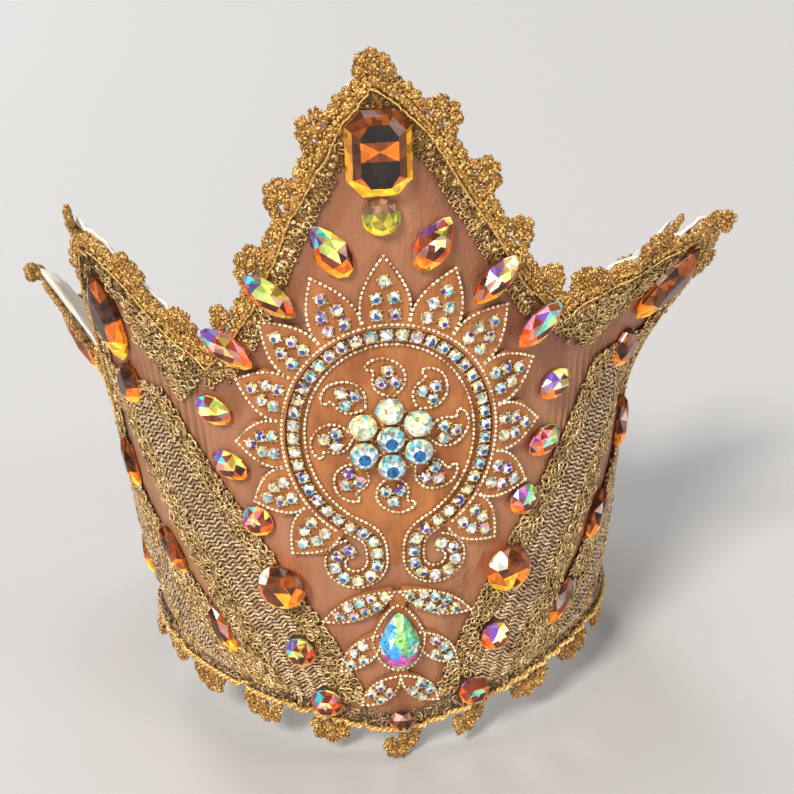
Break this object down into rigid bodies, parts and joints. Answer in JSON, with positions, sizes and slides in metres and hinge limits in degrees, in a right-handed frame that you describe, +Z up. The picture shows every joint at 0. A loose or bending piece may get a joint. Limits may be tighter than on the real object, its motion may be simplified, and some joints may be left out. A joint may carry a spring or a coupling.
{
  "type": "jeweled crown",
  "caption": "Stiff satin crown with a tall front petal, gold lace edging and bands, large cut stones and a beaded sun motif.",
  "frame": {"origin": "centre of the bounding box's bottom, on the surface that the crown stands on", "axes": "+Z up through the head opening, the tall front petal towards -Y, +X towards the wearer's left"},
  "size_m": [0.275, 0.2287, 0.2818],
  "materials": {
    "satin": "satin",
    "gold_lace": "metallic thread",
    "amber_stone": "polished",
    "aurora_stone": "polished, iridescent",
    "crystal_stone": "polished, iridescent",
    "beadwork": "beaded"
  },
  "bodies": {
    "root": {"back_petal_stone_left": "amber_stone", "back_petal_stone_middle": "amber_stone", "back_petal_stone_right": "amber_stone", "column_stone_1_left": "amber_stone", "column_stone_1_right": "amber_stone", "column_stone_2_left": "amber_stone", "column_stone_2_right": "amber_stone", "column_stone_3_left": "amber_stone", "column_stone_3_right": "amber_stone", "column_stone_4_left": "amber_stone", "column_stone_4_right": "amber_stone", "column_stone_5_left": "amber_stone", "column_stone_5_right": "amber_stone", "crown_wall": "satin", "cushion_stone": "amber_stone", "edge_lace": "gold_lace", "front_petal_navette_left": "amber_stone", "front_petal_navette_right": "amber_stone", "front_petal_oval_left": "amber_stone", "front_petal_oval_right": "amber_stone", "lace_band_back": "gold_lace", "lace_band_back_side_left": "gold_lace", "lace_band_back_side_right": "gold_lace", "lace_band_front_left": "gold_lace", "lace_band_front_right": "gold_lace", "lace_band_side_left": "gold_lace", "lace_band_side_right": "gold_lace", "large_round_stone_left": "amber_stone", "large_round_stone_right": "amber_stone", "leaf_sprays": "beadwork", "navette_stone_1_left": "aurora_stone", "navette_stone_1_right": "aurora_stone", "navette_stone_2_left": "aurora_stone", "navette_stone_2_right": "aurora_stone", "oval_stone_1_left": "aurora_stone", "oval_stone_1_right": "aurora_stone", "oval_stone_2_left": "aurora_stone", "oval_stone_2_right": "aurora_stone", "pear_stone": "crystal_stone", "rim_lace": "gold_lace", "rim_stone": "amber_stone", "round_stone_1_left": "aurora_stone", "round_stone_1_right": "aurora_stone", "round_stone_2_left": "aurora_stone", "round_stone_2_right": "aurora_stone", "round_stone_3_left": "aurora_stone", "round_stone_3_right": "aurora_stone", "side_petal_navette_left": "amber_stone", "side_petal_navette_right": "amber_stone", "side_petal_oval_left": "amber_stone", "side_petal_oval_right": "amber_stone", "stone_cluster": "crystal_stone", "stone_string": "crystal_stone", "sun_rays": "beadwork", "teardrop_stone_left": "aurora_stone", "teardrop_stone_right": "aurora_stone", "top_round_stone": "amber_stone"}
  },
  "joints": []
}
